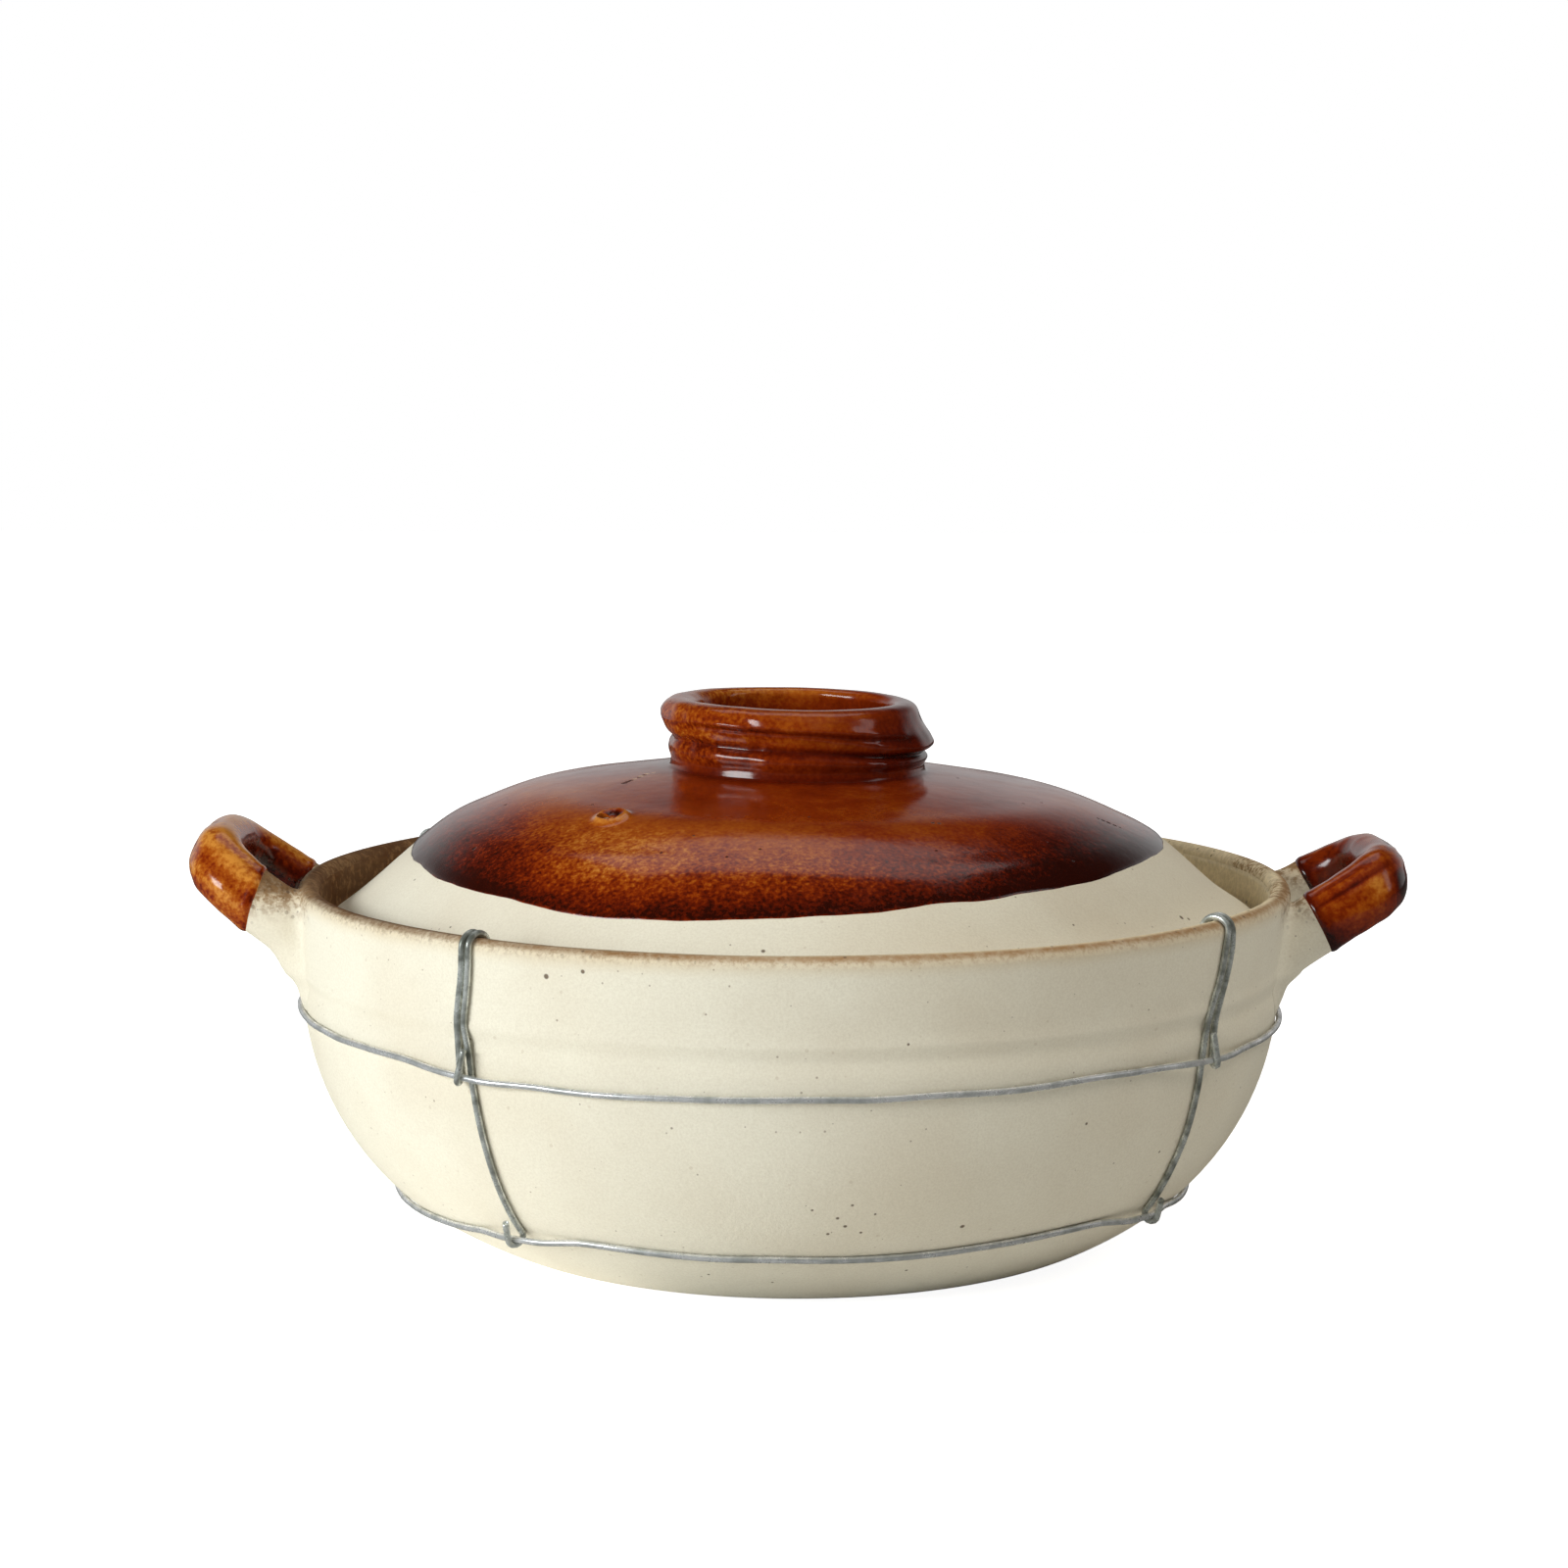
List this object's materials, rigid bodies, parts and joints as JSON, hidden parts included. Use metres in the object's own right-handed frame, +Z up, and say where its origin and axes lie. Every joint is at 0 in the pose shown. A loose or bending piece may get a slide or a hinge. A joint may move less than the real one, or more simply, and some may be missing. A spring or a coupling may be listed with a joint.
{
  "type": "clay pot",
  "caption": "Shallow clay cooking pot with loop ears, bound in a wire cage, and a lift-off domed lid with a ring knob.",
  "frame": {"origin": "middle of the flat base, on the surface that the pot stands on", "axes": "+Z up along the pot's axis, +X through the right ear, -Y towards the front"},
  "size_m": [0.2945, 0.24, 0.1318],
  "materials": {
    "clay": "unglazed cream stoneware, matt, with iron specks",
    "amber_glaze": "glossy amber brown glaze, mottled, darker at its edge",
    "olive_glaze": "thin dull olive brown glaze with specks",
    "galvanized_wire": "dull zinc-coated round wire"
  },
  "bodies": {
    "pot": {"pot_bowl": "clay", "bowl_glaze": "olive_glaze", "left_ear": "clay", "right_ear": "clay", "left_ear_glaze": "amber_glaze", "right_ear_glaze": "amber_glaze", "upper_hoop": "galvanized_wire", "lower_hoop": "galvanized_wire", "front_left_stay": "galvanized_wire", "front_right_stay": "galvanized_wire", "back_right_stay": "galvanized_wire", "back_left_stay": "galvanized_wire"},
    "lid": {"lid_shell": "clay", "knob_ring": "clay", "lid_glaze": "amber_glaze"}
  },
  "joints": [
    {"name": "lid_lift", "type": "slide", "parent": "pot", "child": "lid", "axis": [0, 0, 1], "range_m": [0, 0.12]}
  ]
}
